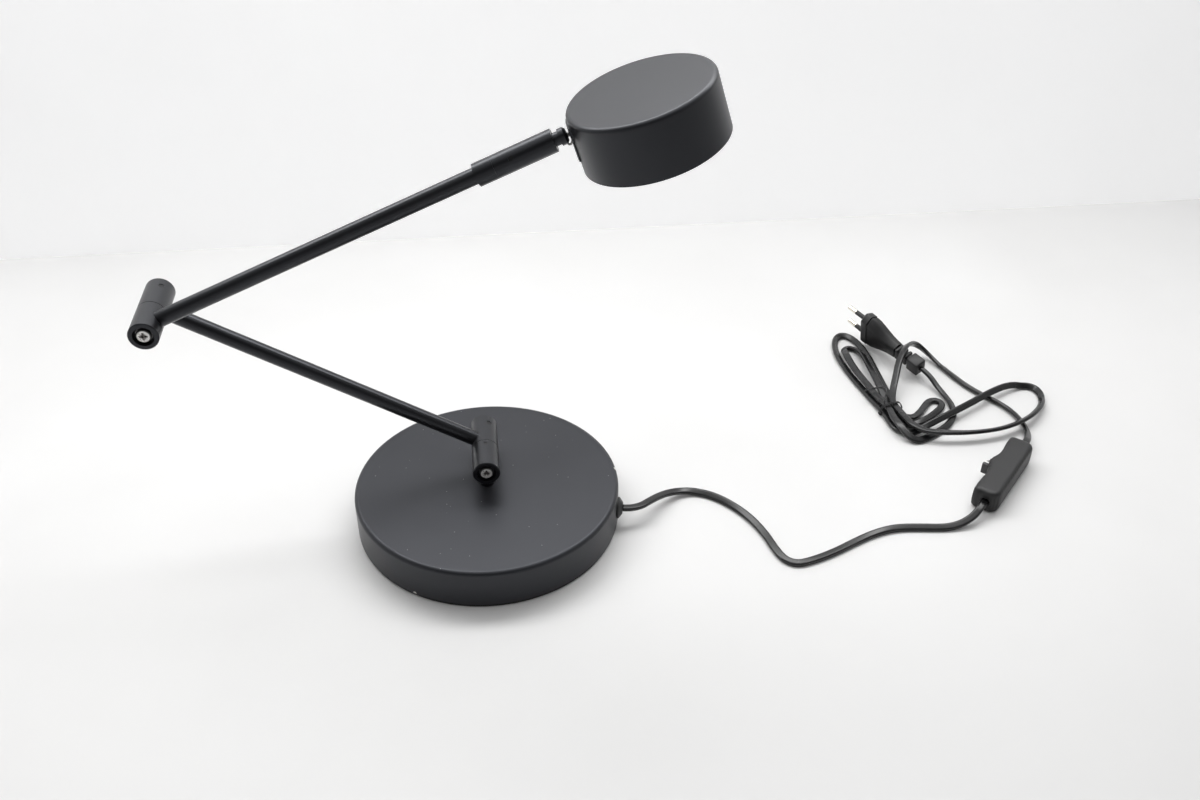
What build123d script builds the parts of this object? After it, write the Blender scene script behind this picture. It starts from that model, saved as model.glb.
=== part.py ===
# Two-arm desk lamp: weighted round base, two friction barrels, tube arms, a drum head on a ball joint,
# and a flat twin cord with an in-line switch and a two-pin plug.
# Millimetres, +Z up, +X towards the head, origin on the table under the centre of the base.
import os
from math import ceil, copysign, cos, degrees, pi, radians, sin, sqrt, tan
from build123d import *

os.makedirs("parts", exist_ok=True)

# ---------------------------------------------------------------- clearances
running_gap = 0.1        # radial, a shaft in its bore
face_gap = 0.05          # between faces that turn on each other
slip_gap = 0.5           # radial, a plate dropped into a shell
tool_gap = 3.0           # round a nut or a box that has to be reached

# ---------------------------------------------------------------- base
base_dia = 185.0
base_height = 30.0
base_fillet = 3.0
shell_wall = 1.5
pad_thick = 2.0
pad_inset = 1.0
rim_gap = 0.3
plate_thick = 1.5
weight_thick = 14.0
weight_gap = 3.0
boss_from_wall = 26.5    # boss centres, in from the rim
boss_dia = 12.0
boss_spigot_dia = 8.0
boss_count = 3
screw_dia = 4.0
screw_head_dia = 7.0
screw_head_high = 1.5
screw_length = 12.0

# ---------------------------------------------------------------- mains entry and driver box
entry_angle = -12.0      # round the base, from +X
entry_height = 14.0
grommet_dia = 15.2
grommet_proud = 3.5
grommet_face_dia = 8.4
grommet_neck_dia = 9.8
grommet_neck_length = 2.2
grommet_barb_dia = 12.4
grommet_barb_length = 2.0
driver_length = 44.0
driver_width = 28.0
driver_high = 18.0
driver_from_wall = 24.5  # its outer end, in from the rim
clamp_length = 8.0
clamp_width = 14.0
clamp_gap = 2.0          # from the driver box
cord_dia = 5.6           # across the two conductors of the flat cord
lead_dia = 3.6           # low-voltage pair

# ---------------------------------------------------------------- stem
stem_y = 0.0             # the stem stands on the base's centre
tube_dia = 10.4
tube_bore = 8.3
bush_dia = 20.0
bush_length = 8.5
nut_dia = 18.0
nut_length = 5.0

# ---------------------------------------------------------------- barrels
barrel_dia = 18.7
barrel_bore = 14.5
front_length = 26.5
rear_length = 29.6
barrel_chamfer = 0.6
pivot_height = 49.2
stem_to_seam = 11.7      # tube centre to the seam, front half
arm_to_seam = 8.8        # tube centre to the seam, rear half
tube_stop_r = 6.2        # tube ends this far from the barrel axis
recess_dia = 13.0
recess_depth = 4.4
web_thick = 3.5
end_wall = 2.0
washer_thick = 0.45
washer_dia = 18.1
pivot_dia = 5.0
pivot_head_dia = 9.3
pivot_head_high = 2.7
cross_long = 5.4
cross_wide = 1.2
cross_deep = 1.3
spring_washer_dia = 10.2
spring_washer_thick = 1.3
plug_start = 15.5        # threaded plug, from the seam
plug_length = 10.4
plug_slip = 0.1
grub_dia = 4.0
grub_seat_r = 5.6
grub_angle = 65.0
grub_sunk = 0.4
stop_dia = 3.0
stop_from_seam = 3.9
stop_angle = 86.0
stop_sunk = 0.3

# ---------------------------------------------------------------- arms
lower_length = 236.8     # barrel axis to barrel axis
lower_angle = 148.07     # from +X
upper_angle = 23.28
collar_dia = 14.5
collar_start = 225.1
collar_length = 12.1
sleeve_length = 38.4
tube_into_sleeve = 21.8
sleeve_screw_dia = 3.0
sleeve_screw_at = 11.4   # from the sleeve's lower end
sleeve_screw_angle = 28.0
groove_deep = 0.5
neck_root = 12.5         # neck inside the sleeve
neck_dia = 8.3
neck_length = 3.5
neck_bore = 4.0
cap_dia = 10.4
cap_length = 4.6
cap_chamfer = 1.4
ball_dia = 6.6
ball_from_face = 2.7     # ball centre behind the cap's face
socket_slip = 0.05
socket_mouth_dia = 5.4

# ---------------------------------------------------------------- head
head_tilt = 17.7         # drum axis, from upright
head_dia = 91.3
head_high = 36.7
head_wall = 1.2
head_top_wall = 1.5
head_fillet = 2.8
ball_below_top = 11.6
ball_to_wall = 5.0
stud_dia = 3.0
stud_nut_dia = 6.0
stud_nut_length = 2.5
saddle_thick = 1.0
saddle_width = 15.6
saddle_length = 21.8
saddle_below_top = 5.2
sink_thick = 4.0
sink_above_rim = 16.0
board_gap = 3.8          # from the light board's edge to the wall
board_thick = 1.6
chip_size = 5.0
chip_high = 0.8
chip_count = 12
chip_circle_r = 27.0
diffuser_thick = 2.0
diffuser_above_rim = 3.0
ring_wall = 2.4
ring_high = 2.0
ring_above_rim = 1.0

# ---------------------------------------------------------------- in-line switch, lying on its side
switch_place = (381.8, -7.0)
switch_heading = 47.5
switch_length = 81.0
switch_wide = 18.0       # upright here, because it lies on its side
switch_back = 9.0        # cord line to the straight back edge
switch_front = 8.8
switch_hump = 12.2
switch_edge = 1.4
rocker_half = 8.8
rocker_wide = 9.2
rocker_slip = 0.3
rocker_pivot = 9.6       # from the cord line
rocker_pin_dia = 2.0
rocker_tilt = 8.0
switch_screw_dia = 2.4
switch_screw_head = 4.4
switch_screw_at = 28.0

# ---------------------------------------------------------------- two-pin plug, standing on one edge
plug_root = (332.8, 188.2, 20.5)
plug_heading = 120.1
plug_pitch = 8.5
plug_roll = 72.0
plug_wide = 35.3
plug_flat = 26.1
plug_thick = 13.7
plug_straight = 18.0
plug_body = 38.0
plug_relief = 28.0
relief_dia = 9.4
relief_end_dia = 7.2
relief_groove = 1.6
relief_rings = 5
pin_dia = 4.0
pin_length = 19.0
pin_root = 6.0
pin_pitch = 18.6
pin_tip_pitch = 17.5

# ---------------------------------------------------------------- cord bundle and its tie
tie_place = (326.0, 88.0)
tie_heading = 100.0
tie_half = 4.5
tie_wide = 3.0
tie_thick = 0.9
tie_slip = 0.15
strand_pitch = 6.5
crossing_lift = 7.0

# ---------------------------------------------------------------- derived places
boss_circle_r = base_dia / 2 - boss_from_wall
driver_end_r = base_dia / 2 - driver_from_wall
driver_start_r = driver_end_r - driver_length
clamp_r = driver_end_r + clamp_gap + clamp_length / 2
plate_top = pad_thick + plate_thick
weight_top = plate_top + weight_thick
shell_under = base_height - shell_wall
bush_bottom = shell_under - bush_length
nut_top = bush_bottom - face_gap
stem_bottom = nut_top - nut_length
seam_y = stem_y + stem_to_seam
seam_gap = washer_thick + face_gap
lower_y = seam_y + arm_to_seam
base_pivot = (0.0, pivot_height)
elbow_pivot = (lower_length * cos(radians(lower_angle)),
               pivot_height + lower_length * sin(radians(lower_angle)))
sleeve_start = collar_start + collar_length + face_gap
sleeve_end = sleeve_start + sleeve_length
neck_end = sleeve_end + neck_length
cap_end = neck_end + cap_length
ball_at = cap_end - ball_from_face

entry_dir = Vector(cos(radians(entry_angle)), sin(radians(entry_angle)), 0)
parts = {}


# ---------------------------------------------------------------- small makers
def rod(start, end, dia):
    """Round bar from one point to another."""
    start, end = Vector(*start), Vector(*end)
    span = end - start
    bar = Cylinder(dia / 2, span.length, align=(Align.CENTER, Align.CENTER, Align.MIN))
    return Plane(origin=start, z_dir=span).location * bar


def ring(start, end, dia, bore):
    """Round bar with a hole through it."""
    return rod(start, end, dia) - rod(start, end, bore)


def up(x, y, z0, z1, dia):
    """Upright round bar."""
    return rod((x, y, z0), (x, y, z1), dia)


def on_barrel(pivot, s, r=0.0, angle=0.0):
    """Point on a barrel: s along it from the seam (+ to the rear), r out from its axis."""
    return (pivot[0] + r * cos(radians(angle)), seam_y + s, pivot[1] + r * sin(radians(angle)))


def on_upper(t, n=0.0, side=0.0):
    """Point by the upper arm: t along it from the elbow axis, n above it, side towards +Y."""
    c, s = cos(radians(upper_angle)), sin(radians(upper_angle))
    return (elbow_pivot[0] + t * c - n * s, stem_y + side, elbow_pivot[1] + t * s + n * c)


def pan_screw(seat, direction, length):
    """Pan-head screw from its seat; the head stands behind the seat."""
    seat, direction = Vector(*seat), Vector(*direction).normalized()
    head = rod(seat - direction * screw_head_high, seat, screw_head_dia)
    return head + rod(seat, seat + direction * length, screw_dia)


# ---------------------------------------------------------------- base
def base_shell():
    """Spun cover with three threaded bosses, the stem hole and the mains hole."""
    rim = pad_thick + rim_gap
    shell = up(0, 0, rim, base_height, base_dia)
    shell = fillet(shell.faces().sort_by(Axis.Z)[-1].edges(), base_fillet)
    inside = up(0, 0, rim, shell_under, base_dia - 2 * shell_wall)
    inside = fillet(inside.faces().sort_by(Axis.Z)[-1].edges(), max(base_fillet - shell_wall, 0.3))
    shell -= inside
    for x, y in boss_places():
        boss = up(x, y, plate_top, shell_under, boss_spigot_dia)
        boss += up(x, y, weight_top, shell_under, boss_dia)
        shell += boss - up(x, y, plate_top, plate_top + screw_length, screw_dia)
    shell -= up(0, stem_y, shell_under - 1, base_height + 1, tube_dia + 2 * running_gap)
    wall_out = base_dia / 2
    shell -= rod(entry(wall_out - shell_wall - 3), entry(wall_out + 1), grommet_neck_dia)
    return shell


def boss_places():
    first = entry_angle + 180.0 / boss_count
    turns = [radians(first + i * 360.0 / boss_count) for i in range(boss_count)]
    return [(boss_circle_r * cos(a), boss_circle_r * sin(a)) for a in turns]


def entry(r, side=0.0, z=entry_height):
    """Point on the mains entry's radius."""
    across = Vector(-entry_dir.Y, entry_dir.X, 0)
    p = entry_dir * r + across * side
    return (p.X, p.Y, z)


def entry_box(r0, r1, width, z0, z1):
    """Box along the mains entry's radius."""
    box = Box(r1 - r0, width, z1 - z0, align=(Align.MIN, Align.CENTER, Align.MIN))
    return Plane(origin=entry(r0, 0, z0), x_dir=entry_dir, z_dir=(0, 0, 1)).location * box


def base_bottom():
    """Foot pad, base plate and the cast weight."""
    clamp_x, clamp_y = entry(clamp_r)[:2]
    pad = up(0, 0, 0, pad_thick, base_dia - 2 * pad_inset)
    plate = up(0, 0, pad_thick, plate_top, base_dia - 2 * shell_wall - 2 * slip_gap)
    weight = up(0, 0, plate_top, weight_top, base_dia - 2 * shell_wall - 2 * weight_gap)
    for x, y in boss_places() + [(clamp_x, clamp_y)]:
        pad -= up(x, y, -1, pad_thick + 1, screw_head_dia + 2 * slip_gap)
        plate -= up(x, y, pad_thick - 1, plate_top + 1, screw_dia + 2 * running_gap)
    for x, y in boss_places():
        weight -= up(x, y, plate_top - 1, weight_top + 1, boss_spigot_dia + 2 * slip_gap)
    weight -= up(0, stem_y, plate_top - 1, weight_top + 1, nut_dia + 2 * tool_gap)
    notch_start = driver_start_r - tool_gap
    weight -= entry_box(notch_start, base_dia, driver_width + tool_gap, plate_top - 1, weight_top + 1)
    parts["foot_pad"] = pad
    parts["base_plate"] = plate
    parts["base_weight"] = weight
    for i, (x, y) in enumerate(boss_places()):
        parts[f"plate_screw_{i + 1}"] = pan_screw((x, y, pad_thick), (0, 0, 1), screw_length)


def mains_entry():
    """Grommet, cord tail, cord clamp with its screw, driver box and the lead to the stem."""
    wall = base_dia / 2
    dome = rod(entry(wall), entry(wall + grommet_proud), grommet_dia)
    dome_step = (grommet_dia - grommet_face_dia) / 2
    outer = dome.faces().sort_by(Axis(entry(0), entry_dir))[-1]
    dome = chamfer(outer.edges(), grommet_proud - 1.0, dome_step)
    neck_in = wall - grommet_neck_length
    dome += rod(entry(neck_in), entry(wall), grommet_neck_dia)
    dome += rod(entry(neck_in - grommet_barb_length), entry(neck_in), grommet_barb_dia)
    parts["cord_grommet"] = dome
    parts["mains_tail"] = rod(entry(driver_end_r), entry(neck_in - grommet_barb_length), cord_dia)
    clamp_top = entry_height + cord_dia / 2 + 2.5
    clamp_half = clamp_length / 2
    clamp = entry_box(clamp_r - clamp_half, clamp_r + clamp_half, clamp_width, plate_top, clamp_top)
    clamp -= rod(entry(clamp_r - clamp_length), entry(clamp_r + clamp_length), cord_dia)
    clamp_x, clamp_y = entry(clamp_r)[:2]
    bite = entry_height - cord_dia / 2 - 1.0 - pad_thick
    clamp -= up(clamp_x, clamp_y, plate_top, pad_thick + bite, screw_dia)
    parts["cord_clamp"] = clamp
    parts["clamp_screw"] = pan_screw((clamp_x, clamp_y, pad_thick), (0, 0, 1), bite)
    driver = entry_box(driver_start_r, driver_end_r, driver_width, plate_top, plate_top + driver_high)
    parts["driver_box"] = fillet(driver.edges().filter_by(Axis.Z), 2.0)


def stem():
    """Stem tube with its bush, nut and the low-voltage lead inside."""
    top = pivot_height - tube_stop_r
    tube = ring((0, stem_y, stem_bottom), (0, stem_y, top), tube_dia, tube_bore)
    parts["stem_tube"] = tube
    bush_in = tube_dia + 2 * running_gap
    parts["stem_bush"] = ring((0, stem_y, bush_bottom), (0, stem_y, shell_under), bush_dia, bush_in)
    parts["stem_nut"] = ring((0, stem_y, stem_bottom), (0, stem_y, nut_top), nut_dia, tube_dia)
    lead_x = (tube_bore - lead_dia) / 2 - running_gap
    parts["stem_lead"] = up(lead_x, stem_y, stem_bottom, top, lead_dia)


# ---------------------------------------------------------------- barrels
def radial_hole(pivot, s, angle, dia):
    return rod(on_barrel(pivot, s), on_barrel(pivot, s, barrel_dia, angle), dia)


def barrel_front(pivot, tube_angle):
    """Front half: screw recess, web, cavity, and the hole that the tube is fixed in."""
    web_in = recess_depth + web_thick - front_length
    half = rod(on_barrel(pivot, -front_length), on_barrel(pivot, -seam_gap / 2), barrel_dia)
    half = chamfer(half.faces().sort_by(Axis.Y)[0].edges(), barrel_chamfer)
    recess_end = recess_depth - front_length
    half -= rod(on_barrel(pivot, -front_length - 1), on_barrel(pivot, recess_end), recess_dia)
    half -= rod(on_barrel(pivot, -front_length), on_barrel(pivot, 0), pivot_dia + 2 * running_gap)
    half -= rod(on_barrel(pivot, web_in), on_barrel(pivot, 1), barrel_bore)
    half -= radial_hole(pivot, -stem_to_seam, tube_angle, tube_dia)
    return half


def barrel_rear(pivot, tube_angle):
    """Rear half: closed end, long bore for the threaded plug, tube hole and grub screw hole."""
    half = rod(on_barrel(pivot, seam_gap / 2), on_barrel(pivot, rear_length), barrel_dia)
    half = chamfer(half.faces().sort_by(Axis.Y)[-1].edges(), barrel_chamfer)
    half -= rod(on_barrel(pivot, -1), on_barrel(pivot, rear_length - end_wall), barrel_bore)
    half -= radial_hole(pivot, arm_to_seam, tube_angle, tube_dia)
    half -= radial_hole(pivot, grub_s(), grub_angle, grub_dia)
    return half


def grub_s():
    return plug_start + plug_length / 2


def seam_washer(pivot):
    """Thin friction washer between the halves, fixed to the front one."""
    front = -seam_gap / 2
    return ring(on_barrel(pivot, front), on_barrel(pivot, front + washer_thick), washer_dia, barrel_bore)


def pivot_screw(pivot):
    """Cross-recessed screw that pulls the two halves together."""
    under_head = recess_depth - front_length - face_gap - spring_washer_thick
    head_front = under_head - pivot_head_high
    screw = rod(on_barrel(pivot, head_front), on_barrel(pivot, under_head), pivot_head_dia)
    screw = fillet(screw.faces().sort_by(Axis.Y)[0].edges(), pivot_head_high * 0.4)
    screw += rod(on_barrel(pivot, under_head), on_barrel(pivot, plug_start + plug_length), pivot_dia)
    slot_y = cross_deep * 2
    centre = Location(on_barrel(pivot, head_front))
    screw -= centre * Box(cross_long, slot_y, cross_wide)
    screw -= centre * Box(cross_wide, slot_y, cross_long)
    return screw


def barrel_fittings(name, pivot):
    """Screw, spring washer, threaded plug and grub screw; all turn with the rear half."""
    under_head = recess_depth - front_length - face_gap - spring_washer_thick
    washer_end = under_head + spring_washer_thick
    parts[f"{name}_pivot_screw"] = pivot_screw(pivot)
    parts[f"{name}_spring_washer"] = ring(on_barrel(pivot, under_head), on_barrel(pivot, washer_end),
                                          spring_washer_dia, pivot_dia)
    plug_dia = barrel_bore - 2 * plug_slip
    plug_end = plug_start + plug_length
    plug = ring(on_barrel(pivot, plug_start), on_barrel(pivot, plug_end), plug_dia, pivot_dia)
    grub = rod(on_barrel(pivot, grub_s(), grub_seat_r, grub_angle),
               on_barrel(pivot, grub_s(), barrel_dia / 2 - grub_sunk, grub_angle), grub_dia)
    parts[f"{name}_thread_plug"] = plug - grub
    parts[f"{name}_grub_screw"] = grub


def base_barrel():
    front = barrel_front(base_pivot, 270.0)
    stop_end = barrel_dia / 2 - stop_sunk
    front -= radial_hole(base_pivot, -stop_from_seam, stop_angle, stop_dia)
    parts["base_barrel_front"] = front
    parts["stop_screw"] = rod(on_barrel(base_pivot, -stop_from_seam, barrel_bore / 2, stop_angle),
                              on_barrel(base_pivot, -stop_from_seam, stop_end, stop_angle), stop_dia)
    parts["base_seam_washer"] = seam_washer(base_pivot)
    parts["base_barrel_rear"] = barrel_rear(base_pivot, lower_angle)
    barrel_fittings("base", base_pivot)


def elbow_barrel():
    parts["elbow_barrel_front"] = barrel_front(elbow_pivot, upper_angle)
    parts["elbow_seam_washer"] = seam_washer(elbow_pivot)
    parts["elbow_barrel_rear"] = barrel_rear(elbow_pivot, lower_angle - 180.0)
    barrel_fittings("elbow", elbow_pivot)


# ---------------------------------------------------------------- arms
def lower_arm():
    """Tube between the rear halves of the two barrels, with its lead."""
    foot = on_barrel(base_pivot, arm_to_seam, tube_stop_r, lower_angle)
    top = on_barrel(base_pivot, arm_to_seam, lower_length - tube_stop_r, lower_angle)
    parts["lower_tube"] = ring(foot, top, tube_dia, tube_bore)
    shift = Location((0, (tube_bore - lead_dia) / 2 - running_gap, 0))
    parts["lower_lead"] = shift * rod(foot, top, lead_dia)


def upper_arm():
    """Tube with its fixed collar; its end turns inside the sleeve."""
    tube_end = sleeve_start + tube_into_sleeve
    tube = ring(on_upper(tube_stop_r), on_upper(tube_end), tube_dia, tube_bore)
    screw_at = sleeve_start + sleeve_screw_at
    half = sleeve_screw_dia / 2 + 0.2
    groove_dia = tube_dia - 2 * groove_deep
    tube -= ring(on_upper(screw_at - half), on_upper(screw_at + half), tube_dia + 1, groove_dia)
    parts["upper_tube"] = tube
    collar_end = collar_start + collar_length
    collar = ring(on_upper(collar_start), on_upper(collar_end), collar_dia, tube_dia)
    parts["stop_collar"] = collar
    lead_side = (tube_bore - lead_dia) / 2 - running_gap
    lead_ends = [on_upper(t, 0, lead_side) for t in (tube_stop_r, tube_end)]
    parts["upper_lead"] = rod(*lead_ends, lead_dia)


def sleeve():
    """Swivel sleeve, its set screw, the neck and the socket cap round the ball."""
    bore = tube_dia + 2 * running_gap
    body = ring(on_upper(sleeve_start), on_upper(sleeve_end), collar_dia, bore)
    screw_at = sleeve_start + sleeve_screw_at
    lean = radians(sleeve_screw_angle)

    def out(r):
        return on_upper(screw_at, r * sin(lean), -r * cos(lean))
    tip = tube_dia / 2 - groove_deep + running_gap
    screw_hole = rod(out(0), out(collar_dia), sleeve_screw_dia)
    body -= screw_hole - rod(on_upper(screw_at - 5), on_upper(screw_at + 5), bore)
    parts["swivel_sleeve"] = body
    parts["sleeve_screw"] = rod(out(tip), out(collar_dia / 2 - 0.2), sleeve_screw_dia)
    neck = rod(on_upper(sleeve_end - neck_root), on_upper(sleeve_end), bore)
    neck += rod(on_upper(sleeve_end), on_upper(neck_end), neck_dia)
    neck -= rod(on_upper(sleeve_end - neck_root), on_upper(neck_end), neck_bore)
    arm_dir = Vector(*on_upper(1)) - Vector(*on_upper(0))
    socket = Plane(origin=on_upper(ball_at), z_dir=arm_dir).location * Sphere(ball_dia / 2 + socket_slip)
    parts["neck"] = neck - socket
    cap = rod(on_upper(neck_end), on_upper(cap_end), cap_dia)
    face = cap.faces().sort_by(Axis(on_upper(0), arm_dir))[-1]
    cap = chamfer(face.edges(), cap_chamfer)
    cap -= rod(on_upper(ball_at), on_upper(cap_end + 1), socket_mouth_dia)
    parts["socket_cap"] = cap - socket


# ---------------------------------------------------------------- head
def head():
    """Drum on its ball stud: saddle, nut, heat-sink disc, light board, diffuser and ring."""
    c, s = cos(radians(head_tilt)), sin(radians(head_tilt))
    ball = Vector(*on_upper(ball_at))
    outward, axis = Vector(c, 0, s), Vector(-s, 0, c)
    top = ball + outward * (head_dia / 2 + ball_to_wall) + axis * ball_below_top
    place = Plane(origin=top, x_dir=outward, z_dir=axis).location

    def disc(z0, z1, dia):
        return rod((0, 0, z0), (0, 0, z1), dia)
    inner_dia = head_dia - 2 * head_wall
    shell = disc(-head_high, 0, head_dia)
    shell = fillet(shell.faces().sort_by(Axis.Z)[-1].edges(), head_fillet)
    hollow = disc(-head_high - 1, -head_top_wall, inner_dia)
    hollow = fillet(hollow.faces().sort_by(Axis.Z)[-1].edges(), max(head_fillet - head_wall, 0.3))
    shell -= hollow
    stud_z = -ball_below_top
    wall_x = -head_dia / 2
    stud_end = wall_x + head_wall + stud_nut_length + 0.8
    stud = rod((wall_x - ball_to_wall, 0, stud_z), (stud_end, 0, stud_z), stud_dia)
    shell -= stud
    saddle_z = -saddle_below_top - saddle_length / 2
    saddle_zone = Location((wall_x, 0, saddle_z)) * Box(10, saddle_width, saddle_length)
    saddle = disc(-head_high, 0, head_dia + 2 * saddle_thick) - disc(-head_high, 0, head_dia)
    saddle &= saddle_zone
    parts["saddle_plate"] = place * (saddle - stud)
    ball_shape = Location((wall_x - ball_to_wall, 0, stud_z)) * Sphere(ball_dia / 2)
    parts["ball_stud"] = place * (stud + ball_shape)
    nut_out = -sqrt((inner_dia / 2) ** 2 - (stud_nut_dia / 2) ** 2)
    nut = rod((nut_out, 0, stud_z), (nut_out + stud_nut_length, 0, stud_z), stud_nut_dia)
    parts["stud_nut"] = place * (nut - stud)
    parts["head_shell"] = place * shell
    sink_bottom = sink_above_rim - head_high
    parts["heat_sink"] = place * disc(sink_bottom, sink_bottom + sink_thick, inner_dia)
    board = disc(sink_bottom - board_thick, sink_bottom, inner_dia - 2 * board_gap)
    for i in range(chip_count):
        a = 2 * pi * i / chip_count
        spot = (chip_circle_r * cos(a), chip_circle_r * sin(a), sink_bottom - board_thick - chip_high / 2)
        board += Location(spot, (0, 0, degrees(a))) * Box(chip_size, chip_size, chip_high)
    parts["light_board"] = place * board
    ring_bottom = ring_above_rim - head_high
    ring_top = ring_bottom + ring_high
    parts["head_ring"] = place * (disc(ring_bottom, ring_top, inner_dia)
                                  - disc(ring_bottom, ring_top, inner_dia - 2 * ring_wall))
    parts["diffuser"] = place * disc(ring_top, ring_top + diffuser_thick, inner_dia - 2 * running_gap)


# ---------------------------------------------------------------- cord
floor_z = cord_dia / 2 + face_gap
low = floor_z + tie_thick + tie_slip           # strands under and over each other in the tie
high = low + sqrt(strand_pitch ** 2 - (strand_pitch / 2) ** 2) + tie_slip * 4


def route_radii(points):
    """Largest arc that each corner of a route allows."""
    vectors = [Vector(*p) for p in points]
    radii = []
    for a, b, c in zip(vectors, vectors[1:], vectors[2:]):
        turn = radians((b - a).get_angle(c - b))
        radii.append(0.45 * min((b - a).length, (c - b).length) / tan(turn / 2))
    return radii


def tube(name, points):
    """Cord tube along a route, with its radii, its volume and its least gap to itself printed."""
    radii = route_radii(points)
    path = FilletPolyline(*points, radius=radii)
    section = Plane(origin=path @ 0, z_dir=path % 0) * Circle(cord_dia / 2)
    solid = sweep(section, path)
    length = path.length
    print(name, "length", round(length, 1), "radii", [round(r, 1) for r in radii])
    print(name, "volume / section x length", round(solid.volume / (pi * cord_dia ** 2 / 4 * length), 5))
    count = ceil(length / 1.5)
    spots = [path @ (i / count) for i in range(count + 1)]
    skip = ceil(3 * cord_dia / 1.5)
    least = min((spots[i] - spots[j]).length for i in range(count) for j in range(i + skip, count + 1))
    print(name, "least gap to itself", round(least - cord_dia, 2))
    return solid


def in_switch(x, y, z):
    """Point in the switch: x along its cord, y towards the rocker, z up from the table."""
    c, s = cos(radians(switch_heading)), sin(radians(switch_heading))
    return (switch_place[0] + x * c - y * s, switch_place[1] + x * s + y * c, z)


def plug_axes():
    h, p, r = radians(plug_heading), radians(plug_pitch), radians(plug_roll)
    ahead = Vector(cos(h) * cos(p), sin(h) * cos(p), sin(p))
    level = Vector(0, 0, 1).cross(ahead).normalized()
    return ahead, level * cos(r) + ahead.cross(level) * sin(r)


def on_plug(back):
    """Point on the plug's middle line, behind its pin face."""
    p = Vector(*plug_root) - plug_axes()[0] * back
    return (p.X, p.Y, p.Z)


def in_tie(side, ahead, z):
    """Point in the tie: side to the right of its heading, ahead along it."""
    c, s = cos(radians(tie_heading)), sin(radians(tie_heading))
    return (tie_place[0] + side * s + ahead * c, tie_place[1] - side * c + ahead * s, z)


def loop(start, end, root, heading, reach, width, sag, steps, lift=0.0, tip=1.0):
    """Petal of cord from one side of the tie back to it: goes out, swings round and returns."""
    c, s = cos(radians(heading)), sin(radians(heading))
    points = []
    for k in range(1, steps):
        a = 2 * pi * k / steps
        far = (1 - cos(a)) / 2
        v = width * copysign(abs(sin(a)) ** tip, sin(a)) * sin(a / 2) + sag * sin(pi * far)
        gate = start if k * 2 < steps else end
        near = max(0.0, 1 - far * 3)
        side = ((gate[1] - root[1]) * c - (gate[0] - root[0]) * s) * near
        u = reach * far
        z = floor_z + (gate[2] - floor_z) * near + lift * min(1.0, max(0.0, 3.2 * sin(pi * far) - 0.7))
        points.append((root[0] + u * c - (v + side) * s, root[1] + u * s + (v + side) * c, z))
    return points


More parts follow.
